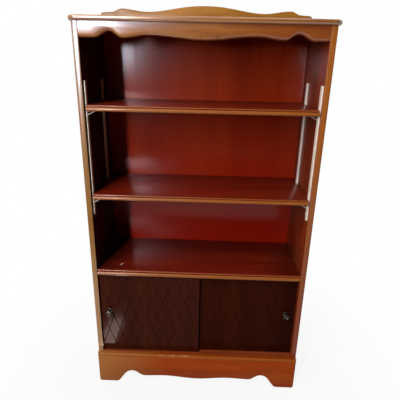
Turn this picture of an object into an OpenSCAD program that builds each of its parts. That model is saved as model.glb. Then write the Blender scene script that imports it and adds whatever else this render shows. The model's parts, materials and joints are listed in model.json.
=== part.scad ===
// Open bookcase over a low cabinet with two bypass sliding doors.
// X runs across the case, Y from the doors (negative) to the back (positive), Z up from the floor.
// The origin is on the floor, under the middle of the whole outline.

/* [Case] */
// Width across the outside of the two sides
case_w = 800; // [640:1:1000]
// Depth of the sides from front edge to back edge
case_d = 295; // [240:1:400]
// Height of the sides from the floor to the underside of the top board
side_h = 1360; // [1300:1:1600]
// Thickness of each side
side_t = 19; // [17:0.5:25]
// Depth of the grooves in the sides that house the cabinet top and floor
dado_d = 6; // [4:0.5:9]
// How far behind the front edge those grooves stop
dado_stop = 16; // [12:1:40]

/* [Top board] */
// Thickness of the top board
top_t = 16.5; // [14:0.5:22]
// How far the top board stands out past each side
top_side_over = 13; // [2:0.5:30]
// How far the top board stands out in front of the sides
top_front_over = 12; // [4:0.5:30]
// Radius of its two front corners seen from above
top_corner_r = 26; // [12:0.5:40]

/* [Crest rail] */
// Thickness of the crest rail on the back of the top board
crest_t = 19; // [15:0.5:25]
// How far each end of the crest stays inside the outer face of the side
crest_end_in = 14; // [5:1:40]
// Height of the crest at its middle
crest_mid_h = 66; // [56:0.5:90]
// Height of the two hollows beside the middle
crest_dip_h = 44; // [36:0.5:50]
// Height of the two outer humps
crest_hump_h = 53.5; // [47:0.5:70]
// Height of the low shoulders at the ends
crest_shoulder_h = 40; // [30:0.5:46]
// Length of each shoulder from the end of the crest to the foot of the hump
crest_shoulder_l = 42; // [30:1:60]
// Length of the slope from the shoulder to the top of the hump
crest_rise_l = 37; // [25:1:60]
// Length from the top of the hump to the hollow
crest_fall_l = 94; // [60:1:110]
// Radius of the outer top corners
crest_corner_r = 13; // [8:0.5:24]
// Radius of the rounded front edge
crest_round_r = 5; // [2:0.5:7]

/* [Apron] */
// Thickness of the scalloped apron under the top board
apron_t = 19; // [15:0.5:25]
// Depth of the apron at its middle
apron_mid_h = 48.5; // [42:0.5:70]
// Depth of the apron at the two wide arches
apron_arch_h = 36.5; // [33:0.5:41]
// Depth of the apron at the two points between the arches
apron_point_h = 45.5; // [42:0.5:52]
// Depth of the apron at the two narrow arches
apron_scroll_h = 27; // [24:0.5:32]
// Depth of the apron where it meets the sides
apron_end_h = 46; // [40:0.5:60]
// Length of the level stretch at each end of the apron
apron_end_l = 44; // [20:1:60]
// Length of the slope from the level end to the narrow arch
apron_slope_l = 49; // [42:1:70]
// Length from the narrow arch to the point
apron_point_l = 39; // [35:1:60]
// Radius of the rounded front edge along the scallops
apron_round_r = 11; // [3:0.5:13]

/* [Base] */
// Height of the base board, level with the top of the cabinet floor
base_h = 137.5; // [110:0.5:180]
// Thickness of the base board planted on the front of the sides
base_t = 19; // [15:0.5:25]
// Height of the bead along its top edge
base_bead_h = 10; // [8:0.5:16]
// Width of the quirk cut under the bead
base_quirk = 1.5; // [1:0.5:3]
// Height of the cut-out at the middle of the base
base_mid_z = 28; // [20:0.5:40]
// Height of the two wide arches
base_arch_z = 37.5; // [30:0.5:50]
// Height of the two points between the arches
base_point_z = 34; // [25:0.5:45]
// Height of the two narrow arches beside the feet
base_scroll_z = 57; // [50:0.5:75]
// Width of each foot
foot_w = 73; // [50:1:90]
// Length of the curve from the foot up to the narrow arch
foot_curve_l = 67; // [50:1:90]
// Length from the narrow arch to the point
base_point_l = 48; // [36:1:70]
// Radius of the outer bottom corners of the feet
foot_corner_r = 10; // [4:0.5:20]
// Radius of the rounded upright edges at the two ends
base_end_r = 8; // [2:0.5:12]

/* [Shelves] */
// Thickness of the two loose shelves
shelf_t = 20; // [17:0.5:25]
// Thickness of the cabinet top, whose edge is moulded like theirs
cabinet_top_t = 24; // [21:0.5:28]
// Height of the large lower bead of these edges, as a part of the board's thickness
bead_low_part = 0.66; // [0.5:0.01:0.7]
// Width of the quirk between the two beads
bead_quirk = 1.2; // [1:0.2:2]
// How far the small upper bead is set back from the front
bead_set_back = 4; // [2:0.5:5]
// Number of free slots below the clips of the upper shelf
upper_slot_count = 28; // [18:1:34]
// Number of free slots below the clips of the lower shelf
lower_slot_count = 4; // [2:1:12]
// Gap between a shelf end and the shelf standards
shelf_end_gap = 0.5; // [0.5:0.25:3]
// Gap between an adjustable shelf and the back panel
shelf_back_gap = 2; // [1:0.5:6]

/* [Shelf standards] */
// Number of slots in each standard
slot_count = 36; // [36:1:44]
// Distance from slot to slot
slot_pitch = 12.7; // [12:0.1:13.5]
// Height of a slot
slot_h = 3.2; // [2.6:0.1:4]
// Width of a slot
slot_w = 8; // [7.6:0.1:10]
// Width of a standard
strip_w = 15.9; // [14:0.1:20]
// How far a standard stands out from the side
strip_t = 4.8; // [4:0.1:6]
// Thickness of the metal of a standard
strip_wall = 1; // [0.8:0.1:1.4]
// Height of the lower end of the standards above the cabinet top
strip_up = 221.5; // [150:0.5:260]
// Distance from the front edge of the sides to the front standards
strip_front_in = 12; // [8:1:40]
// Distance from the back panel to the rear standards
strip_rear_in = 62; // [30:1:90]
// Nails in each standard
strip_nail_count = 4; // [3:1:5]

/* [Clips] */
// Thickness of the bent steel of a clip
clip_t = 1.2; // [1:0.1:1.6]
// Width of a clip
clip_w = 12; // [10:0.5:15]
// Width of the lugs that enter the slots
lug_w = 7; // [5:0.5:7.5]
// How far a clip reaches in under the shelf
clip_reach = 25; // [14:1:30]

/* [Sliding doors] */
// Height of the cabinet opening from its floor to the underside of its top
cabinet_h = 347; // [300:0.5:420]
// Thickness of each door
door_t = 9.5; // [8:0.5:12]
// Distance from the front edge of the sides to the face of the front door
track_in = 12; // [10:0.5:20]
// Clear distance between the front door and the rear door
track_gap = 5.5; // [4:0.5:8]
// Side clearance of a door in its groove
groove_clear = 0.5; // [0.3:0.1:0.9]
// Depth of the grooves in the cabinet floor
floor_groove_d = 5; // [3:0.5:8]
// Depth of the grooves in the cabinet top
top_groove_d = 10; // [9:0.5:11]
// How far a resting door reaches up into the groove of the cabinet top
door_top_in = 4.5; // [3:0.5:5]
// Overlap of the closed doors at the middle
door_overlap = 9.5; // [6:0.5:40]
// Gap between a closed door and the side
door_end_gap = 0.5; // [0.3:0.1:2]
// Width of one diamond of the scored lattice
lattice_w = 43.5; // [36:0.5:60]
// Height of one diamond of the scored lattice
lattice_h = 125; // [100:1:160]
// Distance from the outer edge of a door to its first line of crossings
lattice_in = 6; // [0:0.5:30]
// Height of the lowest whole crossing above the cabinet floor
lattice_up = 38.5; // [10:0.5:90]
// Width of the scored groove
score_w = 3; // [2:0.5:4]
// Depth of the scored groove
score_d = 1.5; // [1:0.25:2]

/* [Knobs] */
// Height of the knobs above the cabinet floor
knob_up = 186.5; // [120:0.5:240]
// Distance from the outer edge of the door to the knob
knob_in = 35; // [25:1:60]
// Diameter of the dished face of the knob
knob_d = 24; // [18:0.5:30]
// How far the knob stands out from the door
knob_l = 23; // [18:0.5:26]
// Diameter of the knob screw
knob_screw_d = 4; // [3:0.25:5]
// Diameter of the countersunk head of the knob screw
knob_screw_head_d = 7.6; // [7:0.2:9]
// How far the knob screw reaches into the knob
knob_screw_in = 10; // [7:0.5:13]

/* [Back panel] */
// Thickness of the back panel
back_t = 6; // [4:0.5:9]
// Width of the rabbet in each side that takes the back panel
rabbet_w = 9; // [7:0.5:12]
// Gap between the edge of the back panel and its rabbet
back_clear = 0.5; // [0.3:0.1:1]
// Diameter of the nails that hold the back panel
back_nail_d = 1.8; // [1.4:0.1:2.4]
// Diameter of the heads of those nails
back_nail_head_d = 4.4; // [3.6:0.1:5]
// Length of those nails
back_nail_l = 22; // [15:1:30]
// Nails along each edge of the back panel below the cabinet top
back_nail_low_count = 3; // [2:1:4]
// Nails along each edge of the back panel above the cabinet top
back_nail_high_count = 7; // [4:1:9]

/* [Cabinet floor] */
// Thickness of the cabinet floor
floor_t = 19; // [16:0.5:24]

/* [Blocks, dowels and nails] */
// Side of the triangular glue blocks
block_s = 20; // [14:0.5:24]
// Length of each glue block behind the apron and behind the base
block_l = 90; // [50:1:110]
// Height above the floor of the blocks in the corners behind the feet
corner_block_up = 12; // [5:1:30]
// Diameter of the dowels
dowel_d = 8; // [6:0.5:10]
// How far the crest dowels reach into the top board and the side dowels up into it
dowel_in_top = 11; // [8:0.5:12]
// How far the dowels reach into the sides and into the crest
dowel_in_rail = 17; // [12:0.5:22]
// Clearance round a dowel, nail or screw in its hole
pin_clear = 0.05; // [0.05:0.05:0.1]
// Diameter of the nails in the shelf standards
strip_nail_d = 2.2; // [1.8:0.1:2.6]
// Diameter of the heads of those nails
strip_nail_head_d = 4.6; // [4:0.1:5.4]
// Depth to which those nails enter the side
strip_nail_in = 13; // [10:0.5:15]

/* [Hidden] */
$fn = 48;

// Colours
mahogany = "#7a3216";
mahogany_dark = "#4a160c";
mahogany_edge = "#93511f";
ply_red = "#6b1a0d";
raw_wood = "#b98d5c";
zinc = "#c9c9c2";
knob_metal = "#9b958a";

// Places across the case
half_w = case_w / 2;
half_in = half_w - side_t;

// Places along the depth, measured from the front edge of the sides
front_reach = max(base_t, top_front_over);
front_y = (front_reach - case_d) / 2;
inner_d = case_d - back_t;
rear_door_in = track_in + door_t + track_gap;

// Heights
floor_z = base_h - floor_t;
cabinet_top_z = base_h + cabinet_h;
open_z = cabinet_top_z + cabinet_top_t;
strip_z = open_z + strip_up;
strip_l = slot_count * slot_pitch;
crest_z = side_h + top_t;
door_h = floor_groove_d + cabinet_h + door_top_in;
door_w = half_in - door_end_gap + door_overlap / 2;

// How far the curve beside a foot leans towards the foot, 1 being an even curve
foot_skew = 1.37;
// Place of the wide arches of the apron and of the base, as the part of the way to the points
apron_arch_place = 0.67;
base_arch_place = 0.62;
// Steps along each stretch of a scallop and along a rounded edge
wave_steps = 10;
round_steps = 4;

// Values from a to b, n of them, evenly spread
function spread(n, a, b) = [for (i = [0 : n - 1]) a + (b - a) * i / (n - 1)];

// A scallop runs through key points [place, height, skew] and is level at each of them.
function wave_z(a, b, t) = a[1] + (b[1] - a[1]) * (1 - cos(180 * pow(t, b[2]))) / 2;
function wave_slope(a, b, t) =
    (b[1] - a[1]) / (b[0] - a[0]) * PI / 2 * sin(180 * pow(t, b[2])) * b[2] * pow(t, b[2] - 1);

// One edge point [x, z, inward x, inward z] with the material below the edge
function wave_point(a, b, t) =
    let (s = wave_slope(a, b, t), l = sqrt(1 + s * s))
    [a[0] + (b[0] - a[0]) * t, wave_z(a, b, t), s / l, -1 / l];

// The edge from the first key to the last
function wave(keys) = concat(
    [for (k = [0 : len(keys) - 2]) for (i = [0 : wave_steps - 1])
        wave_point(keys[k], keys[k + 1], i / wave_steps)],
    [wave_point(keys[len(keys) - 2], keys[len(keys) - 1], 1)]);

// A rounded outer corner that starts level at [x, z] and ends upright
function corner(x, z, r) =
    [for (i = [1 : wave_steps / 2]) let (a = 90 * i / (wave_steps / 2))
        [x + r * sin(a), z - r * (1 - cos(a)), -sin(a), -cos(a)]];

// The right half of an edge, mirrored and joined to itself
function both_sides(half) = concat(
    [for (i = [len(half) - 1 : -1 : 1]) [-half[i][0], half[i][1], -half[i][2], half[i][3]]], half);

// A rail standing on z = 0 whose upper edge is shaped, and rounded over at the front.
// The edge runs from left to right, and the front face is at y = 0. Every face is a narrow
// column or band between neighbouring edge points, so none of them is long and thin.
module shaped_rail(edge, thickness, round_r) {
    n = len(edge);
    insets = [for (i = [0 : round_steps]) let (a = 90 * i / round_steps)
        [round_r * (1 - sin(a)), round_r * (1 - cos(a))]];
    levels = concat(insets, [[0, thickness]]);
    last = len(levels) - 1;
    upper = [for (level = levels) for (p = edge)
        [p[0] + p[2] * level[0], level[1], p[1] + p[3] * level[0]]];
    lower = [for (p = upper) [p[0], p[1], 0]];
    // Number of the point at edge place i of level k, on the upper edge or on the foot
    function top(k, i) = k * n + i;
    function foot(k, i) = len(upper) + k * n + i;
    function two(a, b, c, d) = [[a, b, c], [a, c, d]];
    skin = [for (k = [0 : last - 1]) for (i = [0 : n - 2])
        each two(top(k, i), top(k + 1, i), top(k + 1, i + 1), top(k, i + 1))];
    sole = [for (k = [0 : last - 1]) for (i = [0 : n - 2])
        each two(foot(k, i), foot(k, i + 1), foot(k + 1, i + 1), foot(k + 1, i))];
    front = [for (i = [0 : n - 2]) each two(top(0, i), top(0, i + 1), foot(0, i + 1), foot(0, i))];
    back = [for (i = [0 : n - 2])
        each two(foot(last, i), foot(last, i + 1), top(last, i + 1), top(last, i))];
    ends = [for (k = [0 : last - 1]) each concat(
        two(top(k, 0), foot(k, 0), foot(k + 1, 0), top(k + 1, 0)),
        two(top(k, n - 1), top(k + 1, n - 1), foot(k + 1, n - 1), foot(k, n - 1)))];
    polyhedron(concat(upper, lower), concat(skin, sole, front, back, ends));
}

// Moves a piece from the case's own places into the frame of the whole
module in_case(x = 0, y = 0, z = 0) {
    translate([x, front_y + y, z]) children();
}

// A triangular glue block along X, with its square corner at the origin, pointing back and down
module glue_block(length) {
    translate([-length / 2, 0, 0]) rotate([90, 0, 90]) linear_extrude(length)
        polygon([[0, 0], [0, -block_s], [block_s / 8, -block_s],
                 [block_s, -block_s / 8], [block_s, 0]]);
}

// A round pin or its hole along Z, from z = low to z = high
module pin(d, low, high, clear = 0) {
    translate([0, 0, low - clear]) cylinder(d = d + 2 * clear, h = high - low + 2 * clear);
}

// A nail along Z with its flat head's top at z = 0 and its shank pointing down
module nail(d, head_d, head_h, length, clear = 0) {
    translate([0, 0, -length - clear]) cylinder(d = d + 2 * clear, h = length + clear - head_h / 2);
    translate([0, 0, -head_h]) cylinder(d = head_d + 2 * clear, h = head_h + clear);
}

// How far the first dowel, nail or glue block of a row lies from the end of the row
side_dowel_end = 40;
crest_dowel_end = 70;
back_nail_end = 40;
cross_nail_end = 60;
block_end = 150;
// Thickness of the heads of the nails in the back panel
back_head_h = 1;

// Places that several pieces share
strip_rows = [strip_front_in, inner_d - strip_rear_in - strip_w];
strip_nail_z = [for (s = spread(strip_nail_count, 1, slot_count - 1)) strip_z + slot_pitch * round(s)];
side_dowel_y = spread(3, side_dowel_end, case_d - side_dowel_end);
side_dowel_x = half_w - side_t / 2;
crest_half = half_w - crest_end_in;
crest_dowel_x = spread(5, -crest_half + crest_dowel_end, crest_half - crest_dowel_end);
back_nail_x = half_in + rabbet_w / 2;
back_nail_z = concat(
    spread(back_nail_low_count, base_h + back_nail_end, cabinet_top_z - back_nail_end),
    spread(back_nail_high_count, open_z + back_nail_end, side_h - back_nail_end));
cross_nail_x = spread(4, -half_in + cross_nail_end, half_in - cross_nail_end);
block_x = spread(3, -half_in + block_end, half_in - block_end);

module strip_nail(clear = 0) {
    translate([strip_t, 0, 0]) rotate([0, 90, 0])
        nail(strip_nail_d, strip_nail_head_d, strip_wall, strip_t + strip_nail_in, clear);
}

module back_nail(clear = 0) {
    rotate([-90, 0, 0]) nail(back_nail_d, back_nail_head_d, back_head_h, back_nail_l, clear);
}

module dowel(clear = 0) {
    pin(dowel_d, -dowel_in_rail, dowel_in_top, clear);
}

// The nails along the left edge of the back panel, or their holes
module edge_nail_set(clear = 0) {
    for (z = back_nail_z) in_case(-back_nail_x, case_d, z) back_nail(clear);
}

// The nails from the back panel into the cabinet top and floor, or their holes
module cross_nail_set(clear = 0) {
    for (x = cross_nail_x) for (z = [floor_z + floor_t / 2, cabinet_top_z + cabinet_top_t / 2])
        in_case(x, case_d, z) back_nail(clear);
}

// All nails of the back panel, or their holes
module back_nail_set(clear = 0) {
    for (m = [0, 1]) mirror([m, 0, 0]) edge_nail_set(clear);
    cross_nail_set(clear);
}

// All nails of the two standards on the left side, or their holes
module strip_nail_set(clear = 0) {
    for (y = strip_rows) for (z = strip_nail_z)
        in_case(-half_in, y + strip_w / 2, z) strip_nail(clear);
}

module side_board() {
    color(mahogany) difference() {
        in_case(-half_w) cube([side_t, case_d, side_h]);
        in_case(-half_in - rabbet_w, inner_d, floor_z)
            cube([rabbet_w + 1, back_t + 1, side_h]);
        in_case(-half_in - dado_d, dado_stop, cabinet_top_z)
            cube([dado_d + 1, inner_d - dado_stop + 1, cabinet_top_t]);
        in_case(-half_in - dado_d, dado_stop, floor_z)
            cube([dado_d + 1, inner_d - dado_stop + 1, floor_t]);
        for (y = side_dowel_y) in_case(-side_dowel_x, y, side_h) dowel(pin_clear);
        strip_nail_set(pin_clear);
        edge_nail_set(pin_clear);
    }
}

module side_left() {
    side_board();
}

module side_right() {
    mirror([1, 0, 0]) side_board();
}

// Half-round edge, with its middle along the X axis and its flat side towards +Y
module nosing(length) {
    rotate([0, 90, 0]) cylinder(d = top_t, h = length);
}

// The top board has a bullnose on its front and its two ends.
module top_board() {
    half_l = half_w + top_side_over;
    depth = case_d + top_front_over;
    nose = top_t / 2;
    turn = top_corner_r - nose;
    color(mahogany) difference() {
        in_case(0, -top_front_over, side_h) {
            translate([-half_l + top_corner_r, nose, 0])
                cube([2 * (half_l - top_corner_r), depth - nose, top_t]);
            translate([-half_l + nose, top_corner_r, 0])
                cube([2 * (half_l - nose), depth - top_corner_r, top_t]);
            translate([-half_l + top_corner_r, nose, nose])
                nosing(2 * (half_l - top_corner_r));
            for (m = [0, 1]) mirror([m, 0, 0]) {
                translate([half_l - nose, top_corner_r, nose]) rotate([-90, 0, 0])
                    cylinder(d = top_t, h = depth - top_corner_r);
                translate([half_l - top_corner_r, top_corner_r, nose]) rotate([0, 0, -90])
                    rotate_extrude(angle = 90) intersection() {
                        union() {
                            translate([turn, 0]) circle(d = top_t);
                            translate([0, -nose]) square([turn, top_t]);
                        }
                        translate([0, -nose]) square([top_corner_r + 1, top_t]);
                    }
            }
        }
        for (x = [-side_dowel_x, side_dowel_x]) for (y = side_dowel_y)
            in_case(x, y, side_h) dowel(pin_clear);
        for (x = crest_dowel_x) in_case(x, case_d - crest_t / 2, crest_z)
            mirror([0, 0, 1]) dowel(pin_clear);
    }
}

module crest_rail() {
    hump_x = crest_half - crest_shoulder_l - crest_rise_l;
    keys = [[0, crest_mid_h, 1],
            [hump_x - crest_fall_l, crest_dip_h, 1.15],
            [hump_x, crest_hump_h, 1],
            [hump_x + crest_rise_l, crest_shoulder_h + 1.5, 1],
            [crest_half - crest_corner_r, crest_shoulder_h, 1]];
    half = concat(wave(keys), corner(crest_half - crest_corner_r, crest_shoulder_h, crest_corner_r));
    color(mahogany_edge) difference() {
        in_case(0, case_d - crest_t, crest_z)
            shaped_rail(both_sides(half), crest_t, crest_round_r);
        for (x = crest_dowel_x) in_case(x, case_d - crest_t / 2, crest_z)
            mirror([0, 0, 1]) dowel(pin_clear);
    }
}

module apron() {
    flat_x = half_in - apron_end_l;
    scroll_x = flat_x - apron_slope_l;
    point_x = scroll_x - apron_point_l;
    keys = [[0, apron_mid_h, 1],
            [point_x * apron_arch_place, apron_arch_h, 1],
            [point_x, apron_point_h, 1],
            [scroll_x, apron_scroll_h, 1],
            [flat_x, apron_end_h, 1]];
    half = concat(wave(keys), [[half_in, apron_end_h, 0, -1]]);
    color(mahogany) in_case(0, 0, side_h) mirror([0, 0, 1])
        shaped_rail(both_sides(half), apron_t, apron_round_r);
}

module apron_blocks() {
    color(raw_wood) for (x = block_x) in_case(x, apron_t, side_h) glue_block(block_l);
}

module back_panel() {
    half = half_in + rabbet_w - back_clear;
    color(ply_red) difference() {
        in_case(-half, inner_d, floor_z) cube([2 * half, back_t, side_h - floor_z]);
        back_nail_set(pin_clear);
    }
}

module back_nails() {
    color(zinc) back_nail_set();
}

// Section of a shelf from front to back: a large bead, a quirk and a small bead set back above it
module shelf_section(depth, thickness) {
    low_h = thickness * bead_low_part;
    low_r = low_h / 2;
    up_h = thickness - low_h - bead_quirk;
    body_in = max(low_r, bead_set_back + up_h / 2);
    translate([low_r, low_r]) circle(r = low_r);
    translate([low_r, 0]) square([depth - low_r, low_h]);
    translate([bead_set_back + up_h / 2, thickness - up_h / 2]) circle(d = up_h);
    translate([bead_set_back + up_h / 2, thickness - up_h])
        square([depth - bead_set_back - up_h / 2, up_h]);
    translate([body_in, 0]) square([depth - body_in, thickness]);
}

module shelf_board(length, depth, thickness) {
    translate([-length / 2, 0, 0]) rotate([90, 0, 90]) linear_extrude(length)
        shelf_section(depth, thickness);
}

module free_shelf(slot) {
    half = half_in - strip_t - shelf_end_gap;
    color(mahogany_edge) in_case(0, 0, strip_z + slot_pitch * (slot + 0.5) + clip_t / 2)
        shelf_board(2 * half, inner_d - shelf_back_gap, shelf_t);
}

module shelf_upper() {
    free_shelf(upper_slot_count);
}

module shelf_lower() {
    free_shelf(lower_slot_count);
}

// The two grooves that guide the doors, cut from z = 0 upwards
module door_grooves(depth) {
    for (y = [track_in, rear_door_in]) in_case(-half_in, y - groove_clear, 0)
        cube([2 * half_in, door_t + 2 * groove_clear, depth]);
}

module cabinet_top() {
    color(mahogany_edge) difference() {
        union() {
            in_case(0, 0, cabinet_top_z) shelf_board(2 * half_in, inner_d, cabinet_top_t);
            in_case(-half_in - dado_d, dado_stop, cabinet_top_z)
                cube([2 * (half_in + dado_d), inner_d - dado_stop, cabinet_top_t]);
        }
        translate([0, 0, cabinet_top_z - 1]) door_grooves(top_groove_d + 1);
        cross_nail_set(pin_clear);
    }
}

module cabinet_floor() {
    color(mahogany) difference() {
        union() {
            in_case(-half_in, 0, floor_z) cube([2 * half_in, inner_d, floor_t]);
            in_case(-half_in - dado_d, dado_stop, floor_z)
                cube([2 * (half_in + dado_d), inner_d - dado_stop, floor_t]);
        }
        translate([0, 0, base_h - floor_groove_d]) door_grooves(floor_groove_d + 1);
        cross_nail_set(pin_clear);
    }
}

// The base board seen from above, with its back at y = 0 and its two front corners rounded
module base_plan() {
    translate([-half_w + base_end_r, -base_t]) square([case_w - 2 * base_end_r, base_t]);
    for (m = [0, 1]) mirror([m, 0]) translate([half_w - base_end_r, -base_t + base_end_r]) {
        circle(r = base_end_r);
        square([base_end_r, base_t - base_end_r]);
    }
}

// The base board: scalloped below, with a bead and a quirk along its top edge
module base_front() {
    scroll_x = half_w - foot_w - foot_curve_l;
    point_x = scroll_x - base_point_l;
    keys = [[0, base_mid_z, 1],
            [point_x * base_arch_place, base_arch_z, 1],
            [point_x, base_point_z, 1],
            [scroll_x, base_scroll_z, 1],
            [half_w - foot_w, 0, foot_skew]];
    body_h = base_h - base_bead_h - base_quirk;
    r = base_bead_h / 2;
    foot = [for (i = [0 : wave_steps / 2]) let (a = 90 * i / (wave_steps / 2))
        [half_w - foot_corner_r * (1 - sin(a)), foot_corner_r * (1 - cos(a))]];
    half = concat([for (p = wave(keys)) [p[0], p[1]]], foot);
    left = [for (i = [len(half) - 1 : -1 : 1]) [-half[i][0], half[i][1]]];
    color(mahogany) in_case() intersection() {
        union() {
            rotate([90, 0, 0]) linear_extrude(base_t)
                polygon(concat(left, half, [[half_w, body_h], [-half_w, body_h]]));
            translate([-half_w, -base_t + base_quirk, body_h - 1])
                cube([case_w, base_t - base_quirk, base_quirk + 2]);
            translate([-half_w, -base_t + r, base_h - base_bead_h])
                cube([case_w, base_t - r, base_bead_h]);
            translate([-half_w, -base_t + r, base_h - r]) rotate([0, 90, 0])
                cylinder(r = r, h = case_w);
        }
        linear_extrude(base_h) base_plan();
    }
}

module base_corner_blocks() {
    color(raw_wood) for (m = [0, 1]) mirror([m, 0, 0])
        in_case(-half_in, 0, corner_block_up) linear_extrude(floor_z - corner_block_up)
            polygon([[0, 0], [block_s, 0], [block_s, block_s / 8],
                     [block_s / 8, block_s], [0, block_s]]);
}

module base_rail_blocks() {
    color(raw_wood) for (x = block_x) in_case(x, 0, floor_z) glue_block(block_l);
}

// Scored lines that lean to +X as they rise and cross z = 0 one diamond apart, from low_x to high_x
module score_lines(height, low_x, high_x) {
    lean = atan(lattice_w / lattice_h);
    for (i = [floor(low_x / lattice_w) : ceil(high_x / lattice_w)])
        translate([i * lattice_w, 0, 0]) rotate([0, lean, 0]) translate([0, 0, -score_w])
            linear_extrude(height / cos(lean) + 2 * score_w)
                polygon([[-score_w, -score_d], [score_w, -score_d], [0, score_d]]);
}

// Left door with its outer lower corner at the origin and its face at y = 0
module door_board() {
    low = floor_groove_d + lattice_up - lattice_h;
    height = door_h - low;
    drift = height * lattice_w / lattice_h;
    color(mahogany_dark) difference() {
        cube([door_w, door_t, door_h]);
        translate([lattice_in, 0, low]) {
            score_lines(height, -drift, door_w);
            mirror([1, 0, 0]) score_lines(height, -door_w - drift, 0);
        }
        translate([knob_in, 0, floor_groove_d + knob_up]) knob_screw(pin_clear);
    }
}

// Brings a left-hand door piece to its place: at = 0 for the left front door, 1 for the right rear one
module at_door(at) {
    mirror([at, 0, 0]) in_case(-half_in + door_end_gap, at == 0 ? track_in : rear_door_in,
                               base_h - floor_groove_d) children();
}

module door_left() {
    at_door(0) door_board();
}

module door_right() {
    at_door(1) door_board();
}

// Countersunk screw from the back of the door into the knob, at the knob's middle on the door face
module knob_screw(clear = 0) {
    head_h = (knob_screw_head_d - knob_screw_d) / 2;
    translate([0, door_t, 0]) rotate([90, 0, 0]) {
        translate([0, 0, -clear]) cylinder(d1 = knob_screw_head_d + 2 * clear,
                                           d2 = knob_screw_d + 2 * clear, h = head_h);
        cylinder(d = knob_screw_d + 2 * clear, h = door_t + knob_screw_in + clear);
    }
}

// Turned knob: a rose against the door, a waisted stem and a dished face with a raised rim
module knob() {
    // Radius and distance from the door, as parts of the knob's own radius and length
    profile = [[0, 0], [0.8, 0], [0.8, 0.05], [0.72, 0.1], [0.5, 0.15], [0.42, 0.24], [0.42, 0.45],
               [0.54, 0.6], [0.8, 0.72], [0.97, 0.81], [1, 0.89], [0.95, 0.97], [0.86, 1],
               [0.76, 0.965], [0.62, 0.9], [0, 0.86]];
    translate([knob_in, 0, floor_groove_d + knob_up]) color(knob_metal) difference() {
        rotate([90, 0, 0]) rotate_extrude()
            polygon([for (p = profile) [p[0] * knob_d / 2, p[1] * knob_l]]);
        knob_screw(pin_clear);
    }
}

module knob_left() {
    at_door(0) knob();
}

module knob_right() {
    at_door(1) knob();
}

module placed_screw(at) {
    color(zinc) at_door(at) translate([knob_in, 0, floor_groove_d + knob_up]) knob_screw();
}

module knob_screw_left() {
    placed_screw(0);
}

module knob_screw_right() {
    placed_screw(1);
}

// Shelf standard: a shallow channel with its open side on the side board, facing +X
module strip() {
    gap = (strip_w - slot_w) / 2;
    color(zinc) difference() {
        linear_extrude(strip_l) polygon([
            [0, 0], [strip_t, 0], [strip_t, strip_w], [0, strip_w], [0, strip_w - strip_wall],
            [strip_t - strip_wall, strip_w - strip_wall], [strip_t - strip_wall, strip_wall],
            [0, strip_wall]]);
        for (i = [0 : slot_count - 1])
            translate([strip_t - 1.5 * strip_wall, gap, slot_pitch * (i + 0.5) - slot_h / 2])
                cube([2 * strip_wall, slot_w, slot_h]);
        for (z = strip_nail_z) translate([0, strip_w / 2, z - strip_z]) strip_nail(pin_clear);
    }
}

module placed_strip(right, row) {
    mirror([right, 0, 0]) in_case(-half_in, strip_rows[row], strip_z) strip();
}

module strip_front_left() {
    placed_strip(0, 0);
}

module strip_rear_left() {
    placed_strip(0, 1);
}

module strip_front_right() {
    placed_strip(1, 0);
}

module strip_rear_right() {
    placed_strip(1, 1);
}

module strip_nails() {
    color(zinc) for (m = [0, 1]) mirror([m, 0, 0]) strip_nail_set();
}

// Plain strap of a clip in the X-Z plane between two points
module strap(a, b) {
    run = norm(b - a);
    n = [-(b - a)[1], (b - a)[0]] * clip_t / 2 / run;
    polygon([a + n, a - n, b - n, b + n]);
    translate(a) circle(d = clip_t);
}

// Clip for one slot: a level leg under the shelf, a brace to the slot below, and two lugs.
// The middle of the slot is at the origin, on the side's inner face.
module clip() {
    tip = [strip_t + clip_reach, 0];
    foot = [strip_t, -slot_pitch];
    lug_x = strip_t - strip_wall - clip_t;
    hook = slot_h / 2 + clip_t;
    rotate([90, 0, 0]) {
        translate([0, 0, -clip_w / 2]) linear_extrude(clip_w) intersection() {
            union() {
                strap(tip, foot);
                strap(tip, [strip_t, 0]);
            }
            translate([strip_t, -2 * slot_pitch]) square([2 * clip_reach, 3 * slot_pitch]);
        }
        translate([0, 0, -lug_w / 2]) linear_extrude(lug_w) {
            for (z = [-slot_pitch, 0])
                translate([lug_x, z - clip_t / 2]) square([strip_t - lug_x + clip_t / 2, clip_t]);
            translate([lug_x, -clip_t / 2]) square([clip_t, hook]);
        }
    }
}

module clip_set(slot) {
    color(zinc) for (m = [0, 1]) mirror([m, 0, 0]) for (y = strip_rows)
        in_case(-half_in, y + strip_w / 2, strip_z + slot_pitch * (slot + 0.5)) clip();
}

module clips_upper() {
    clip_set(upper_slot_count);
}

module clips_lower() {
    clip_set(lower_slot_count);
}

module crest_dowels() {
    color(raw_wood) for (x = crest_dowel_x) in_case(x, case_d - crest_t / 2, crest_z)
        mirror([0, 0, 1]) dowel();
}

module top_dowels() {
    color(raw_wood) for (x = [-side_dowel_x, side_dowel_x]) for (y = side_dowel_y)
        in_case(x, y, side_h) dowel();
}

side_left();
side_right();
top_board();
crest_rail();
apron();
apron_blocks();
back_panel();
back_nails();
cabinet_top();
cabinet_floor();
base_front();
base_corner_blocks();
base_rail_blocks();
shelf_upper();
shelf_lower();
door_left();
door_right();
knob_left();
knob_right();
knob_screw_left();
knob_screw_right();
strip_front_left();
strip_rear_left();
strip_front_right();
strip_rear_right();
strip_nails();
clips_upper();
clips_lower();
crest_dowels();
top_dowels();
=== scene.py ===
# %% [markdown]
# # A bookcase with cabinet doors
# The CAD model gives every board its exact shape and place. This script dresses it: it softens the
# sharp edges, gives each surface its wood, varnish or metal, and lights it as the photograph is lit.
# Lengths are in metres. X runs across the case, Y from the doors to the back, Z up from the floor.

# %% Load the packed frame
import json
import math

import bmesh
import bpy
from mathutils import Matrix, Vector

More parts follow.
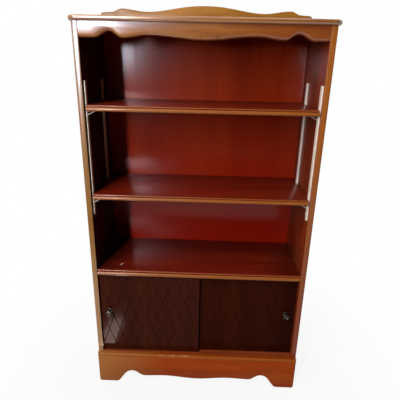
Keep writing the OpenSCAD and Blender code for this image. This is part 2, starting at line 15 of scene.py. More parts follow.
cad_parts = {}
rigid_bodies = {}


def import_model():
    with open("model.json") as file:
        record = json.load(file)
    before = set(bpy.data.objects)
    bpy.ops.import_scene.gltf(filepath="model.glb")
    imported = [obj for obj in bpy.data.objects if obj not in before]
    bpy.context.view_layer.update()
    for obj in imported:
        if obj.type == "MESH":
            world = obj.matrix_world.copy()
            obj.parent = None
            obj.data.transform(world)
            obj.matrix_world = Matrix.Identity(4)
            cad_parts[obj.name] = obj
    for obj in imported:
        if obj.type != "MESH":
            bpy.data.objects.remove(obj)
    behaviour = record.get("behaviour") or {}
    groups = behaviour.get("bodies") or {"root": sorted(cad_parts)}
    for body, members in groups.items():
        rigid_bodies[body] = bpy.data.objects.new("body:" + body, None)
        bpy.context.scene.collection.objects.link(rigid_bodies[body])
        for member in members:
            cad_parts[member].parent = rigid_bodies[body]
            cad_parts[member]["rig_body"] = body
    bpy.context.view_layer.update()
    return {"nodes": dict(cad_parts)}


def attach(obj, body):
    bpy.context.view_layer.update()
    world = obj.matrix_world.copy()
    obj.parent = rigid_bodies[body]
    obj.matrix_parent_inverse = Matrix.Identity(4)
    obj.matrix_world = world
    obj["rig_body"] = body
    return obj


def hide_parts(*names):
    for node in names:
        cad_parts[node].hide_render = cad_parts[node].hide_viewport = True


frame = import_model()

nodes = frame["nodes"]

# %% [markdown]
# ## The camera
# A camera can be placed by eye, but every later comparison depends on it. This one was fitted to the
# straight edges in the photograph instead. It stands 1.24 m high, a little right of the middle, and
# looks down by about 20 degrees. Blender wants a rotation, and a matrix whose columns are the camera's
# right, up and back directions is the plainest way to give one. The fit measured the focal length in
# pixels, and Blender takes it in millimetres, so it is scaled by the width of the sensor.

# %% Place the camera
EYE = Vector((0.0302, -1.3727, 1.2382))
YAW, PITCH, ROLL = math.radians(-1.39), math.radians(19.54), math.radians(-1.23)
FOCAL_PIXELS = 377.2
IMAGE_PIXELS = 400
SENSOR_MM = 36


def camera_axes():
    """Right, up and back directions of the camera."""
    level_share = math.cos(PITCH)
    forward = Vector((math.sin(YAW) * level_share, math.cos(YAW) * level_share, -math.sin(PITCH)))
    level = Vector((math.cos(YAW), -math.sin(YAW), 0))
    right = math.cos(ROLL) * level + math.sin(ROLL) * forward.cross(level)
    return right, right.cross(forward), -forward


def into_scene(name, data):
    """A new object that holds the data, linked to the scene."""
    thing = bpy.data.objects.new(name, data)
    bpy.context.scene.collection.objects.link(thing)
    return thing


camera_data = bpy.data.cameras.new("camera")
camera_data.sensor_width = SENSOR_MM
camera_data.sensor_fit = "HORIZONTAL"
camera_data.lens = SENSOR_MM * FOCAL_PIXELS / IMAGE_PIXELS
camera_data.dof.use_dof = False
camera = into_scene("camera", camera_data)
camera.matrix_world = Matrix.Translation(EYE) @ Matrix(camera_axes()).transposed().to_4x4()
bpy.context.scene.camera = camera
print("lens:", round(camera_data.lens, 2), "mm")

# %% [markdown]
# ## Building materials from nodes
# Photographs of wood could be wrapped round the boards, but they show seams and repeat. A procedural
# material is computed at every point of the board, so it fits any shape. It reads the Object
# coordinates, which are the same metres that the boards are built in, so a pattern keeps its real
# scale and stays put when a door slides. A small wrapper keeps the node code short: it adds a node,
# sets its inputs and joins it to others in one call. Sockets go by their names. Only the Math and
# Mix Shader nodes need numbers, because two of their inputs share a name.


# %% Define the material wrapper
class Graph:
    """The node tree of a material or of the world."""

    def __init__(self, owner):
        owner.use_nodes = True
        self.tree = owner.node_tree
        self.tree.nodes.clear()

    def add(self, kind, inputs=None, out=0, **settings):
        """Adds a node, sets or joins its inputs, and returns one of its outputs if it has any."""
        node = self.tree.nodes.new("ShaderNode" + kind)
        for key, value in settings.items():
            setattr(node, key, value)
        for key, value in (inputs or {}).items():
            if isinstance(value, bpy.types.NodeSocket):
                self.tree.links.new(value, node.inputs[key])
            else:
                node.inputs[key].default_value = value
        return node.outputs[out] if node.outputs else None

    def math(self, operation, a, b=0.0):
        """The result of one Math node, such as ADD."""
        return self.add("Math", {0: a, 1: b}, operation=operation)

    def times(self, first, *others):
        """All the values multiplied, so that a mask holds only where each of them does."""
        for other in others:
            first = self.math("MULTIPLY", first, other)
        return first

    def blend(self, amount, a, b):
        """Colour a turning into colour b."""
        return self.add("Mix", {"Factor": amount, "A": a, "B": b}, "Result", data_type="RGBA")

    def fade(self, value, low, high, start=0.0, end=1.0):
        """Maps value from low..high to start..end, and holds it there outside."""
        return self.add("MapRange", {"Value": value, "From Min": low, "From Max": high,
                                     "To Min": start, "To Max": end})

    def place(self):
        """The point of the board that is being coloured, in its Object coordinates."""
        return self.add("TexCoord", out="Object")

    def axis(self, name):
        """One coordinate of that point: X across, Y to the back, Z up."""
        return self.add("SeparateXYZ", {"Vector": self.place()}, name)

    def noise(self, scale, stretch=(1, 1, 1), detail=3.0, rough=0.5):
        """A cloudy pattern from 0 to 1. A stretch above 1 packs it more tightly along that axis."""
        spot = self.add("Mapping", {"Vector": self.place(), "Scale": stretch})
        return self.add("TexNoise", {"Vector": spot, "Scale": scale, "Detail": detail,
                                     "Roughness": rough})


print("wrapper:", [name for name in vars(Graph) if not name.startswith("_")])

# %% [markdown]
# ## The grain
# Mahogany shows three things along its length: broad bands of light and dark figure, fine streaks,
# and short dark pores. Each is a noise that is packed tightly across the board, which draws it out
# along the grain. A wave texture would also give stripes, but they come out too regular for a
# plain-sawn board. The grain follows the long axis of the board, because that is how a joiner cuts it.

# %% Define the grain
PACKED = 11
ALONG = {"X": (1, PACKED, PACKED), "Z": (PACKED, PACKED, 1)}
STREAK_SCALE, STREAK_DETAIL, STREAK_ROUGH = 13, 5, 0.65
PORE_SCALE, PORE_DETAIL = 70, 2
BAND_SHARE, STREAK_SHARE = 0.65, 0.35


def grain(g, stretch, figure):
    """Tone of the figure with the streaks in it, the streaks alone, and the pores."""
    bands = g.noise(figure, stretch)
    streaks = g.noise(STREAK_SCALE, stretch, STREAK_DETAIL, STREAK_ROUGH)
    pores = g.noise(PORE_SCALE, stretch, PORE_DETAIL)
    tone = g.math("ADD", g.times(bands, BAND_SHARE), g.times(streaks, STREAK_SHARE))
    return tone, streaks, pores


print("grain along:", sorted(ALONG))

# %% [markdown]
# ## Colours
# A colour picked on a screen comes as a hex code, whose steps follow the eye. Shaders compute with
# amounts of light, so the code is turned into linear shares of red, green and blue.


# %% Define the colours
def tint(code):
    """Linear colour with alpha from a hex code such as #7a3216."""
    parts = [int(code[i:i + 2], 16) / 255 for i in (1, 3, 5)]
    linear = [p / 12.92 if p <= 0.04045 else ((p + 0.055) / 1.055) ** 2.4 for p in parts]
    return (*linear, 1.0)


print("a red-brown:", [round(v, 3) for v in tint("#7a3216")])

# %% [markdown]
# ## The stain
# The stain takes three tones from dark to light, chosen by the grain, and the pores hold the darkest.
# Where hands have rubbed the front edges for years, the stain is thinner and the wood looks golden.
# That front colour starts at a depth, front_y, because everything in front of it is edge. Its share
# stays just short of the whole, so some stain remains in it.

# %% Define the stain
DARK_TO_MIDDLE, MIDDLE_TO_LIGHT = (0.36, 0.50), (0.50, 0.66)
PORE_RIM, PORE_SHARE = (0.62, 0.75), 0.35
RUB_DEPTH, RUB_SHARE = 0.001, 0.85
RUB_STREAKS = "#8f4119"


def at_front(g, front_y, share=1.0):
    """0 behind front_y, rising to share within a millimetre in front of it."""
    return g.fade(g.axis("Y"), front_y, front_y - RUB_DEPTH, 0, share)


def stain(g, tones, layers, front, front_y):
    """Colour of the stained wood, with a rubbed front edge where a front colour is given."""
    tone, streaks, pores = layers
    dark, middle, light = (tint(code) for code in tones)
    colour = g.blend(g.fade(tone, *DARK_TO_MIDDLE), dark, middle)
    colour = g.blend(g.fade(tone, *MIDDLE_TO_LIGHT), colour, light)
    if front:
        rubbed = g.blend(streaks, tint(front), tint(RUB_STREAKS))
        colour = g.blend(at_front(g, front_y, RUB_SHARE), colour, rubbed)
    return g.blend(g.fade(pores, *PORE_RIM, 0, PORE_SHARE), colour, dark)


print("stain rubbed to", RUB_SHARE, "at the front edges")

# %% [markdown]
# ## The varnish
# Old varnish is a clear film over the stain, and in the photograph it mirrors the window. The
# Principled shader has a Coat for such a film, with a roughness of its own, so the wood below can stay
# dull. Two bumps are used: the grain raises the wood, and long faint waves along the board disturb
# only the film. The coat's weight may differ between the faces and a polished front edge, and along
# the height of that edge. All other gloss values are plain numbers on the sockets, which survive an
# export.

# %% Define the finish of a board
POLISH_HEIGHTS = (0.65, 1.2)
STREAK_RISE, PORE_SINK = 0.6, 0.4
GRAIN_BUMP = {"Strength": 0.3, "Distance": 0.0002}
WAVE_SCALE, WAVE_DRAWN_OUT, WAVE_DETAIL = 75, 0.06, 2


def wood(name, along, tones, rough=0.38, gleam=0.15, coat=0.25, coat_rough=0.2, coat_ior=1.5,
         figure=1.6, front=None, front_y=None, front_coat=None, ripple=0.00002, detail=None):
    """A stained, varnished board. front_coat is what the front's coat adds, low and high up."""
    material = bpy.data.materials.new(name)
    g = Graph(material)
    stretch = ALONG[along]
    tone, streaks, pores = grain(g, stretch, figure)
    colour = stain(g, tones, (tone, streaks, pores), front, front_y)
    if detail:
        colour = detail(g, colour)
    if front_coat:
        polish = g.fade(g.axis("Z"), *POLISH_HEIGHTS, *front_coat)
        coat = g.math("ADD", g.times(at_front(g, front_y), polish), coat)
    height = g.math("SUBTRACT", g.times(streaks, STREAK_RISE), g.times(pores, PORE_SINK))
    bump = g.add("Bump", {"Height": height, **GRAIN_BUMP})
    waves = g.noise(WAVE_SCALE, [WAVE_DRAWN_OUT if v == 1 else 1 for v in stretch], WAVE_DETAIL)
    film = g.add("Bump", {"Height": waves, "Strength": 1.0, "Distance": ripple})
    shader = g.add("BsdfPrincipled", {
        "Base Color": colour, "Roughness": rough, "Specular IOR Level": gleam, "Normal": bump,
        "Coat Weight": coat, "Coat Roughness": coat_rough, "Coat IOR": coat_ior,
        "Coat Normal": film})
    g.add("OutputMaterial", {"Surface": shader})
    return material


print("board finish ready, with grain raised by", GRAIN_BUMP["Distance"], "m")

# %% [markdown]
# ## The two sides
# The sides are full-height boards with the grain upright, and they aren't alike in the photograph. The
# left one has its inner face turned from the window, and painted shade makes that face nearly black,
# while its front edge is polished near the top, where it mirrors the window, and carries a painted
# pale sheen near the floor. The right one has faded evenly, and painted shade turns its front edge
# red-brown towards the floor. One material could hold both, but two are easier to read. Each special
# place is a mask made from the coordinates and blended in by a small function. Each range below is
# written from where its mask is 0 to where it is full.

# %% Finish the sides
SIDE_TONES = ("#581f0c", "#782f12", "#8f4119")
SIDE_FRONT_Y = -0.1370
LEFT_INNER_X, INNER_SHADE_SHARE = (-0.3820, -0.3812), 0.9
SHEEN_FOOT_Z, PAINTED_SHEEN_SHARE = (0.7, 0.4), 0.5
SHADED_FOOT_Z, FOOT_SHADE_SHARE = (1.1, 0.3), 0.85


def left_painted_shade_and_sheen(g, colour):
    """Painted shade that makes the inner face nearly black, and a painted pale sheen on the front edge
    near the floor.
    """
    # Painted shade: the inner face is blended to a nearly black brown.
    inside = g.fade(g.axis("X"), *LEFT_INNER_X, 0, INNER_SHADE_SHARE)
    low = g.fade(g.axis("Z"), *SHEEN_FOOT_Z, 0, PAINTED_SHEEN_SHARE)
    # Painted sheen: the front edge turns pale near the floor.
    colour = g.blend(g.times(at_front(g, SIDE_FRONT_Y), low), colour, tint("#c4a58a"))
    return g.blend(inside, colour, tint("#2c100b"))


def right_edge_painted_shade(g, colour):
    """A front edge painted from gold to red-brown towards the floor, as painted shade."""
    # Painted shade: the front edge darkens to red-brown towards the floor.
    low = g.fade(g.axis("Z"), *SHADED_FOOT_Z, 0, FOOT_SHADE_SHARE)
    return g.blend(g.times(at_front(g, SIDE_FRONT_Y), low), colour, tint("#7c2c10"))


left_wood = wood("left_upright", "Z", SIDE_TONES, rough=0.45, gleam=0.03, coat=0.0,
                 coat_rough=0.24, coat_ior=2.0, front="#8a8038", front_y=SIDE_FRONT_Y,
                 front_coat=(0.0, 1.0), detail=left_painted_shade_and_sheen)
right_wood = wood("right_upright", "Z", SIDE_TONES, coat=0.42, coat_rough=0.25, front="#b07a2e",
                  front_y=SIDE_FRONT_Y, detail=right_edge_painted_shade)
print("sides:", left_wood.name, right_wood.name)

# %% [markdown]
# ## The top, the crest and the apron
# These three see the most daylight and have faded to gold, the crest most of all. The apron's varnish
# is the glossiest surface of the case, and its right end is painted redder, as painted shade where
# less light falls. The top is dull from dusting, except its round nose, which hands and clothes have
# polished. The apron's lower edge has small chips that show dark wood. They are drawn as specks of
# noise inside a narrow band, because as real dents they would be too small to see.

# %% Finish the top, the crest and the apron
TOP_NOSE_Y = -0.140
APRON_SHADE_X, APRON_SHADE_SHARE = (0.0, 0.22), 0.55
CHIP_Z, CHIP_Y = (1.326, 1.318), (-0.130, -0.134)
CHIP_LEFT_X, CHIP_RIGHT_X = (-0.14, -0.06), (0.26, 0.20)


def between(g, left, right):
    """1 between two places across the case, each given as the range from 0 to full."""
    return g.times(g.fade(g.axis("X"), *left), g.fade(g.axis("X"), *right))


def specks(g, scale, stretch, detail, rim, share):
    """Small spots, where a noise rises above its rim."""
    return g.fade(g.noise(scale, stretch, detail), *rim, 0, share)


def apron_shade_and_chips(g, colour):
    """A right end painted redder as painted shade, and small dark chips along the lower edge, near the
    middle.
    """
    # Painted shade: the right half turns redder towards the right end.
    painted_shade_end = g.fade(g.axis("X"), *APRON_SHADE_X, 0, APRON_SHADE_SHARE)
    colour = g.blend(painted_shade_end, colour, tint("#7c3212"))
    edge = g.times(g.fade(g.axis("Z"), *CHIP_Z), g.fade(g.axis("Y"), *CHIP_Y))
    chips = specks(g, scale=55, stretch=(1, 2, 1), detail=3, rim=(0.56, 0.62), share=0.8)
    return g.blend(g.times(edge, between(g, CHIP_LEFT_X, CHIP_RIGHT_X), chips), colour,
                   tint("#3a160a"))


top_wood = wood("top_along", "X", ("#845020", "#9a6426", "#ac7634"), coat=0.1, coat_rough=0.21,
                coat_ior=1.9, front_y=TOP_NOSE_Y, front_coat=(0.9, 0.9))
crest_wood = wood("crest_along", "X", ("#7a4a16", "#8b5d1a", "#a27129"), coat=0.2)
apron_wood = wood("apron_along", "X", ("#7e4a1e", "#985f22", "#ab702e"), coat=0.8,
                  coat_rough=0.18, coat_ior=1.6, detail=apron_shade_and_chips)
print("upper boards:", top_wood.name, crest_wood.name, apron_wood.name)

# %% [markdown]
# ## The shelves and the cabinet floor
# The shelves lie in the shade of the case and have kept their red, under a smooth varnish that mirrors
# the metal standards. Their beaded front edges are rubbed to gold. The fixed shelf is the lowest and
# the most shaded, and painted shade darkens it towards the rear and the ends. It also carries one
# short pale scratch near its left end. That is drawn as a slanted line: the distance from the line
# fades the mark out across, and the distance from its middle fades it out along.

# %% Finish the shelves and the cabinet floor
SHELF_FRONT_Y = -0.1330
FIXED_SHELF_Z = (0.53, 0.52)
SHADED_REAR_Y, REAR_SHADE_SHARE = (-0.11, 0.14), 0.5
SHADED_END_X, END_SHADE_SHARE = (0.23, 0.34), 0.6
BEHIND_EDGE_Y = (-0.130, -0.125)
SCRATCH_X, SCRATCH_Y, SCRATCH_SLANT = -0.2986, -0.0852, 0.5
SCRATCH_ACROSS, SCRATCH_ALONG = (0.0022, 0.0008), (0.010, 0.006)


def scratch(g):
    """A short slanted line, 1 in its middle."""
    x = g.math("SUBTRACT", g.axis("X"), SCRATCH_X)
    y = g.math("SUBTRACT", g.axis("Y"), SCRATCH_Y)
    across = g.math("ABSOLUTE", g.math("SUBTRACT", g.times(y, SCRATCH_SLANT), x))
    return g.times(g.fade(across, *SCRATCH_ACROSS),
                   g.fade(g.math("ABSOLUTE", y), *SCRATCH_ALONG))


def fixed_shelf_shade_and_scratch(g, colour):
    """The fixed shelf: painted shade towards its rear and its ends, and one small pale scratch."""
    on_fixed_shelf = g.fade(g.axis("Z"), *FIXED_SHELF_Z)
    rear = g.fade(g.axis("Y"), *SHADED_REAR_Y, 0, REAR_SHADE_SHARE)
    ends = g.fade(g.math("ABSOLUTE", g.axis("X")), *SHADED_END_X, 0, END_SHADE_SHARE)
    behind_edge = g.fade(g.axis("Y"), *BEHIND_EDGE_Y)
    shaded = g.times(g.math("MAXIMUM", rear, ends), behind_edge, on_fixed_shelf)
    # Painted shade: the rear and the ends of the fixed shelf are blended to a near-black brown.
    colour = g.blend(shaded, colour, tint("#260a04"))
    return g.blend(g.times(scratch(g), on_fixed_shelf), colour, tint("#e8d8cc"))


shelf_wood = wood("shelf_along", "X", ("#581407", "#701b0a", "#842a10"), gleam=0.2, coat=0.27,
                  coat_rough=0.1, front="#a46e1e", front_y=SHELF_FRONT_Y,
                  detail=fixed_shelf_shade_and_scratch)
floor_wood = wood("ledge_along", "X", ("#7a3318", "#8f4420", "#a3562a"))
print("shelves:", shelf_wood.name, floor_wood.name)

# %% [markdown]
# ## The base board
# The base board is a clear red-brown, and its left end is painted more golden, as painted light where
# the light falls on it. Its bead is what shoes touch, so it is rubbed golden all along and scuffed
# pale left of the middle. The bead is found by its height and its depth, since nothing else of the
# board reaches both.

# %% Finish the base board
LIT_END_X, PAINTED_LIGHT_SHARE = (-0.12, -0.40), 0.8
BEAD_Z, BEAD_Y, BEAD_SHARE = (0.125, 0.128), (-0.146, -0.150), 0.6
SCUFF_LEFT_X, SCUFF_RIGHT_X = (-0.19, -0.15), (0.01, -0.03)


def base_light_and_wear(g, colour):
    """A left end painted more golden as painted light, and a golden bead that is scuffed pale in
    places.
    """
    # Painted light: the left end is blended to a paler gold.
    painted_light = g.fade(g.axis("X"), *LIT_END_X, 0, PAINTED_LIGHT_SHARE)
    colour = g.blend(painted_light, colour, tint("#ac7a46"))
    bead = g.times(g.fade(g.axis("Z"), *BEAD_Z), g.fade(g.axis("Y"), *BEAD_Y))
    colour = g.blend(g.times(bead, BEAD_SHARE), colour, tint("#a5642c"))
    scuffs = specks(g, scale=60, stretch=(1, 3, 3), detail=4, rim=(0.54, 0.66), share=0.7)
    return g.blend(g.times(bead, between(g, SCUFF_LEFT_X, SCUFF_RIGHT_X), scuffs), colour,
                   tint("#c99a6d"))


base_wood = wood("base_along", "X", ("#943d0b", "#a1420f", "#ab4e15"), gleam=0.0, coat=0.2,
                 coat_rough=0.3, detail=base_light_and_wear)
print("base:", base_wood.name)

# %% [markdown]
# ## The back panel
# The back is thin plywood with an upright, cloudy figure under a deep red varnish, which isn't quite
# flat, so its waves are stronger than on the boards. It is painted a deeper red towards the floor, as
# painted light for the red light that bounces inside the case. Its rear was never finished, so the
# last half millimetre of its thickness takes the colour of bare wood.

# %% Finish the back panel
BROAD_FIGURE = 0.9
BOUNCE_CAST_Z, BOUNCE_CAST_SHARE = (1.2, 0.6), 0.9
REAR_FACE_Y = (0.1560, 0.1566)
VENEER_SCALE, VENEER_STRETCH, VENEER_DETAIL = 3, (9, 9, 1), 4


def back_bounce_and_bare_rear(g, colour):
    """A painted deeper red towards the floor for the bounced light, and bare wood on the rear face."""
    # Painted light: a deeper red cast towards the floor, for light bounced inside the red case.
    low = g.fade(g.axis("Z"), *BOUNCE_CAST_Z, 0, BOUNCE_CAST_SHARE)
    colour = g.blend(low, colour, tint("#8e1404"))
    veneer = g.noise(VENEER_SCALE, VENEER_STRETCH, VENEER_DETAIL)
    bare = g.blend(veneer, tint("#8f6b44"), tint("#b08a5e"))
    return g.blend(g.fade(g.axis("Y"), *REAR_FACE_Y), colour, bare)


back_ply = wood("back_ply", "Z", ("#812306", "#8e2a07", "#9a320a"), figure=BROAD_FIGURE,
                gleam=0.03, coat=0.43, coat_rough=0.17, ripple=0.00010, detail=back_bounce_and_bare_rear)
print("back:", back_ply.name)

# %% [markdown]
# ## The sliding doors
# The doors are nearly black, and the right one more so. Their scored lattice is cut in the CAD solid,
# so it catches light as real grooves do and needs no bump. The slanted walls of the grooves are found
# by their normals. They get a slightly lighter brown, which is painted light that cancels their shade.
# Without it the shaded walls would draw the lattice dark all over the doors, and in the photograph it
# shows only in the gloss.

# %% Finish the sliding doors
WALL_FACING, WALL_LIGHT_SHARE = (0.98, 0.85), 0.5


def painted_light_on_walls(g, colour):
    """Painted light: a lighter brown on the slanted walls of the scored lattice."""
    normal = g.add("NewGeometry", out="True Normal")
    facing = g.math("ABSOLUTE", g.add("SeparateXYZ", {"Vector": normal}, "Y"))
    # Painted light: the groove walls are blended lighter, to cancel their shade.
    return g.blend(g.fade(facing, *WALL_FACING, 0, WALL_LIGHT_SHARE), colour, tint("#3c1a0c"))


def door_wood(name, tones, coat):
    """The finish of one door."""
    return wood(name, "Z", tones, figure=BROAD_FIGURE, gleam=0.0, coat=coat, coat_rough=0.22,
                detail=painted_light_on_walls)


left_door_wood = door_wood("left_door_board", ("#320e05", "#3e1609", "#4a1e0c"), 0.11)
right_door_wood = door_wood("right_door_board", ("#270903", "#310e05", "#3c1608"), 0.04)
print("doors:", left_door_wood.name, right_door_wood.name)

# %% [markdown]
# ## Bare wood
# The glue blocks and the dowels are out of sight and were never stained or varnished, so they get a
# pale wood without a coat.

# %% Finish the hidden wood
raw_wood = wood("bare_wood", "X", ("#8a6238", "#a97f50", "#c49c6c"), rough=0.7, gleam=0.2,
                coat=0.0)
print("hidden:", raw_wood.name)

# %% [markdown]
# ## Metals
# The shelf standards and their clips are zinc plated, dull and pale, the nails plain steel, and the
# knobs old metal, dark in the hollows and bright where hands rub it. One function makes all three: a
# tarnish of noise moves the colour between two tones and makes the darker places rougher. Zinc plate
# is nearly white and dull, so it looks more like paint than like a mirror and takes little of the
# metallic share.

# %% Define and make the metals
TARNISH_DETAIL, TARNISH_ROUGH = 4, 0.6
TARNISH_COLOURS, TARNISH_GLOSS = (0.35, 0.65), (0.3, 0.7)
DULLER, SHINIER = 0.1, 0.05
METAL_BUMP = {"Strength": 0.2, "Distance": 0.0001}


def metal(name, low, high, rough, metallic, scale=90.0, stretch=(1, 1, 1)):
    """A metal that turns from its low to its high tone, and shines where it is high."""
    material = bpy.data.materials.new(name)
    g = Graph(material)
    tarnish = g.noise(scale, stretch, TARNISH_DETAIL, TARNISH_ROUGH)
    shader = g.add("BsdfPrincipled", {
        "Base Color": g.blend(g.fade(tarnish, *TARNISH_COLOURS), tint(low), tint(high)),
        "Metallic": metallic,
        "Normal": g.add("Bump", {"Height": tarnish, **METAL_BUMP}),
        "Roughness": g.fade(tarnish, *TARNISH_GLOSS, rough + DULLER, rough - SHINIER)})
    g.add("OutputMaterial", {"Surface": shader})
    return material


zinc = metal("zinc_plate", "#e4e0d0", "#faf6ea", rough=0.4, metallic=0.1, stretch=(1, 1, 0.3))
steel = metal("nail_steel", "#77746e", "#9a968e", rough=0.4, metallic=0.9)
knob_metal = metal("knob_brass", "#0f0c0a", "#544b3f", rough=0.3, metallic=0.95, scale=160.0)
print("metals:", [m.name for m in (zinc, steel, knob_metal)])

# %% [markdown]
# ## Softening the edges
# Real boards have slightly rounded edges that catch the light, and a CAD solid has none. A bevel
# modifier could round them, but the CAD mesh is loose triangles, so each visible board is copied
# first: its doubles are merged, its flat triangles are dissolved into whole faces, and the long convex
# edges that turn by more than 50 degrees are bevelled. The copy stands for the node, rides on the same
# body and stays inside its box. Smooth shading with sharp edges marked keeps the flats flat.

# %% Define the softening
MERGE_DISTANCE = 0.00002
FLAT_TURN, SMOOTH_TURN, SHARP_TURN = (math.radians(v) for v in (0.4, 30, 50))
BOARD_BEVEL, FINE_BEVEL = 0.0010, 0.0008
LONG_EDGE, SHORT_EDGE = 0.03, 0.002


def merged_copy(source):
    """The node's mesh with its doubles merged and its flat triangles made whole faces."""
    shape = bmesh.new()
    shape.from_mesh(source.data)
    bmesh.ops.remove_doubles(shape, verts=shape.verts, dist=MERGE_DISTANCE)
    bmesh.ops.dissolve_limit(shape, angle_limit=FLAT_TURN, verts=shape.verts, edges=shape.edges)
    return shape


def long_sharp_edges(shape, shortest):
    """The convex edges that a joiner would round."""
    return [e for e in shape.edges if len(e.link_faces) == 2 and e.is_convex
            and e.calc_face_angle(0) > SHARP_TURN and e.calc_length() > shortest]


def smooth_flats(shape):
    """Smooth shading that stops at every edge that turns."""
    for face in shape.faces:
        face.smooth = True
    for edge in shape.edges:
        edge.smooth = edge.calc_face_angle(0) < SMOOTH_TURN


def made_mesh(name, shape, material):
    """A mesh with one material from a bmesh, which is then freed."""
    mesh = bpy.data.meshes.new(name)
    shape.to_mesh(mesh)
    shape.free()
    mesh.materials.append(material)
    return mesh


print("bevels:", BOARD_BEVEL, FINE_BEVEL)

# %% [markdown]
# ## Softening each board
# Most boards get a bevel of 1 mm, about what sandpaper leaves. The shelves and the base board get a
# finer one, because their beads are only a few millimetres wide. On the base board it also follows the
# short edges of the sawn curves. The apron and the crest are cut to such curves too, but there a bevel
# would pinch, so they keep their crisp sawn edge and only get the smooth shading.


# %% Soften the boards
def softened(node, material, width=BOARD_BEVEL, shortest=LONG_EDGE):
    """Puts a dressed copy in the place of a board. Width 0 leaves its edges as the CAD has them."""
    source = nodes[node]
    shape = merged_copy(source)
    sharp = long_sharp_edges(shape, shortest)
    if sharp and width:
        bmesh.ops.bevel(shape, geom=sharp, offset=width, segments=2, profile=0.5,
                        affect="EDGES", material=-1, clamp_overlap=True)
    bmesh.ops.triangulate(shape, faces=[f for f in shape.faces if len(f.verts) > 4])
    bmesh.ops.recalc_face_normals(shape, faces=shape.faces)
    smooth_flats(shape)
    mesh = made_mesh(node + "_soft", shape, material)
    piece = into_scene(node + "_soft", mesh)
    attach(piece, source["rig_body"])
    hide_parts(node)
    print(f"{node}: {len(sharp)} long sharp edges, {len(mesh.polygons)} faces")


softened("side_left", left_wood)
softened("side_right", right_wood)
softened("top_board", top_wood)
softened("cabinet_floor", floor_wood)
softened("base_front", base_wood, width=FINE_BEVEL, shortest=SHORT_EDGE)
softened("apron", apron_wood, width=0)
softened("crest_rail", crest_wood, width=0)
for name in ("shelf_upper", "shelf_lower", "cabinet_top"):
    softened(name, shelf_wood, width=FINE_BEVEL)

# %% [markdown]
# ## Finishing the other nodes
# The remaining CAD nodes already have the shape they need. They keep their own meshes and only get
# their materials, through the slot that each already has.

# %% Finish the CAD nodes
FINISHES = {
    back_ply: ["back_panel"],
    left_door_wood: ["door_left"],
    right_door_wood: ["door_right"],
    raw_wood: ["apron_blocks", "base_corner_blocks", "base_rail_blocks", "crest_dowels",
               "top_dowels"],
    zinc: ["strip_front_left", "strip_rear_left", "strip_front_right", "strip_rear_right",
           "clips_upper", "clips_lower"],
    steel: ["back_nails", "strip_nails", "knob_screw_left", "knob_screw_right"],
    knob_metal: ["knob_left", "knob_right"],
}
for material, names in FINISHES.items():
    for name in names:
        for slot in nodes[name].material_slots:
            slot.material = material
    print(material.name, "on", len(names), "nodes")

# %% [markdown]
# ## Stage pieces
# The bookcase needs a floor to stand on and something dark for its varnish to mirror. Both are single
# flat faces, made as a grid of one square, turned and moved while they are still a bmesh. Each starts
# with an empty material, which the next cells fill.


# %% Define the stage pieces
def stage_plane(name, reach, place=(0, 0, 0), turn=0.0):
    """A square stage piece, reach metres to each side, and the node tree of its material."""
    shape = bmesh.new()
    bmesh.ops.create_grid(shape, x_segments=1, y_segments=1, size=reach)
    bmesh.ops.rotate(shape, matrix=Matrix.Rotation(turn, 3, "X"), verts=shape.verts)
    bmesh.ops.translate(shape, vec=place, verts=shape.verts)
    material = bpy.data.materials.new(name)
    piece = into_scene(name, made_mesh(name, shape, material))
    return piece, Graph(material)


print("helper for the stage:", stage_plane.__name__)

# %% [markdown]
# ## The floor
# The photograph is cut out on white. A floor lit until it is white would also flood the case with
# light, so the floor has two faces. Camera, glossy and transmission rays find a plain white glow, with
# a share of a pale matt surface near the case that holds its shadow. The soft light that bounces
# between surfaces finds a duller matt floor, which returns as much light as a real one.

# %% Lay the floor
FLOOR_REACH = 8
SHADOW_RANGE, SHADOW_SHARE = (0.5, 1.1), 0.1


def two_faced(g, output, dull, shown):
    """Joins one shader for soft light, and one for the rays that find the white background."""
    camera_ray = g.add("LightPath", out="Is Camera Ray")
    gloss_ray = g.add("LightPath", out="Is Glossy Ray")
    through_ray = g.add("LightPath", out="Is Transmission Ray")
    finds_white = g.math("MAXIMUM", camera_ray, g.math("MAXIMUM", gloss_ray, through_ray))
    g.add(output, {"Surface": g.add("MixShader", {0: finds_white, 1: dull, 2: shown})})


floor, g = stage_plane("floor", FLOOR_REACH)
pale = g.add("BsdfDiffuse", {"Color": tint("#e2dfda")})
duller = g.add("BsdfDiffuse", {"Color": tint("#a88e66")})
glow = g.add("Emission", {"Color": (1, 1, 1, 1), "Strength": 1.0})
distance = g.add("VectorMath", {"Vector": g.place()}, "Value", operation="LENGTH")
near = g.fade(distance, *SHADOW_RANGE, SHADOW_SHARE, 0)
two_faced(g, "OutputMaterial", duller, g.add("MixShader", {0: near, 1: glow, 2: pale}))
print("floor:", [round(v, 1) for v in floor.dimensions])

# %% [markdown]
# ## The dark side of the room
# The varnish mirrors what stands behind the camera. A white world there would turn every board milky,
# so a dark wall stands in its way. The camera never sees it.

# %% Stand up the dark wall
WALL_REACH = 6
WALL_Y = -3.2

wall, g = stage_plane("dark_wall", WALL_REACH, (0, WALL_Y, 0), math.radians(90))
g.add("OutputMaterial", {"Surface": g.add("BsdfDiffuse", {"Color": tint("#2a1c16")})})
wall.visible_camera = False
print("wall at", WALL_Y)

# %% [markdown]
# ## The world
# The world is white where the camera, a glossy ray or a ray through glass meets it, and nearly black
# as a source of light. An even light from all sides would fill the deep shadows under the shelves, so
# almost all light comes from lamps.

# %% Set the world
ROOM_LIGHT = 0.015

world = bpy.data.worlds.new("room")
bpy.context.scene.world = world
g = Graph(world)
room = g.add("Background", {"Color": tint("#fff0e0"), "Strength": ROOM_LIGHT})
white = g.add("Background", {"Color": (1, 1, 1, 1), "Strength": 1.0})
two_faced(g, "OutputWorld", room, white)
print("world:", world.name)

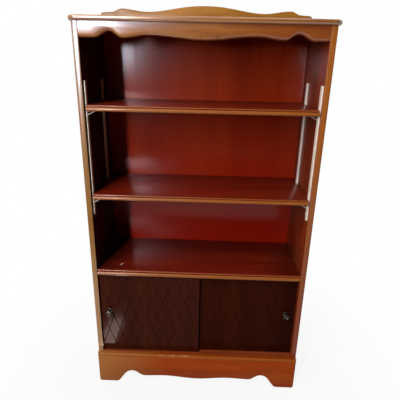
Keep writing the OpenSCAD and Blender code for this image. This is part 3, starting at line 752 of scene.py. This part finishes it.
# %% [markdown]
# ## The lamps
# The main light is a tall narrow window behind the camera on the left, in two parts. Its place follows
# from the photograph: the shadow of the left side on the back panel gives its direction, the dark band
# under the apron gives the height where it begins, and the pale sheen on the apron and on the back is
# its mirror image. A skylight from above on the left reaches the shelf tops, and two soft lamps behind
# the case show its back in other views. The last four lamps are seen only in the gloss: three widen
# the window there, and one is the glint on the left door. They have no share in the diffuse light, so
# they can't upset the shadows.

# %% Place the lamps
WINDOW_X, WINDOW_Y = -1.015, -2.6
# name: place, aimed at, width and height, watts, colour
LAMPS = {
    "window": ((WINDOW_X, WINDOW_Y, 2.30), (0, 0, 2.30), (0.17, 1.6), 51, "#fdf4f0"),
    "window_foot": ((WINDOW_X, WINDOW_Y, 1.375), (0, 0, 1.375), (0.17, 0.25), 18.5, "#ecf0ff"),
    "skylight": ((-1.2, -1.5, 3.0), (0, 0, 0.9), (1.2, 0.8), 44, "#fff0e0"),
    "back_left": ((-1.8, 2.5, 1.9), (0, 0.15, 0.7), (1.4, 1.4), 50, "#fff8f0"),
    "back_right": ((1.8, 2.5, 1.9), (0, 0.15, 0.7), (1.4, 1.4), 50, "#fff8f0"),
}
GLOSS_LAMPS = {
    "pane": ((-1.31, WINDOW_Y, 1.5), (0, 0, 1.4), (0.38, 0.6), 25, "#d2e8ff"),
    "pane_foot": ((-1.3, WINDOW_Y, 0.85), (0, 0, 0.9), (0.3, 0.7), 4.5, "#fbf4ec"),
    "curtain": ((-0.72, WINDOW_Y, 1.65), (0, 0, 1.4), (0.5, 0.3), 3.2, "#a8d4ff"),
    "glint": ((-0.366, -0.21, 0.16), (-0.366, -0.21, 1), (0.064, 0.16), 0.55, "#fff6ec"),
}


def area_light(name, place, target, size, watts, code):
    """A flat lamp of one colour, turned towards its target."""
    data = bpy.data.lights.new(name, "AREA")
    data.shape = "RECTANGLE"
    data.size, data.size_y = size
    data.energy = watts
    data.color = tint(code)[:3]
    lamp = into_scene(name, data)
    lamp.location = place
    direction = Vector(target) - Vector(place)
    lamp.rotation_euler = direction.to_track_quat("-Z", "Y").to_euler()
    return lamp


for name, values in LAMPS.items():
    area_light(name, *values)
for name, values in GLOSS_LAMPS.items():
    area_light(name, *values).visible_diffuse = False

# %% [markdown]
# ## The view transform
# Blender's usual view bends bright colours, as film does, which looks well but makes them hard to
# compare. The Standard view shows each colour about as it is written.

# %% Choose the plain view
bpy.context.scene.view_settings.view_transform = "Standard"
print("view:", bpy.context.scene.view_settings.view_transform)
